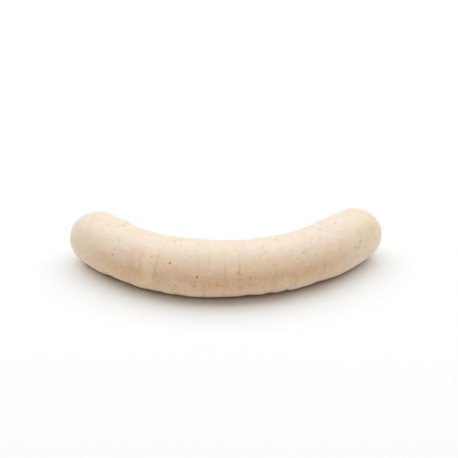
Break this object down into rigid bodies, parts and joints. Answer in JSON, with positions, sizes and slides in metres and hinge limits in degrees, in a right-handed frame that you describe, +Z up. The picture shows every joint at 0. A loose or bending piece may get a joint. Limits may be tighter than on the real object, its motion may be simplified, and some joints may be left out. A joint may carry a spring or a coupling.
{
  "type": "white sausage",
  "caption": "Plump, pale scalded sausage with a gentle sideways bend and rounded ends, lying on its flattened underside.",
  "frame": {"origin": "on the resting surface, under the middle of the bounding box", "axes": "+Z up; +X from the left end to the right end, with the bend bowing towards -Y and the ends turned towards +Y"},
  "size_m": [0.174, 0.0666, 0.0307],
  "materials": {
    "casing": "satin natural casing over pale, fine sausage meat"
  },
  "bodies": {
    "root": {"sausage": "casing"}
  },
  "joints": []
}
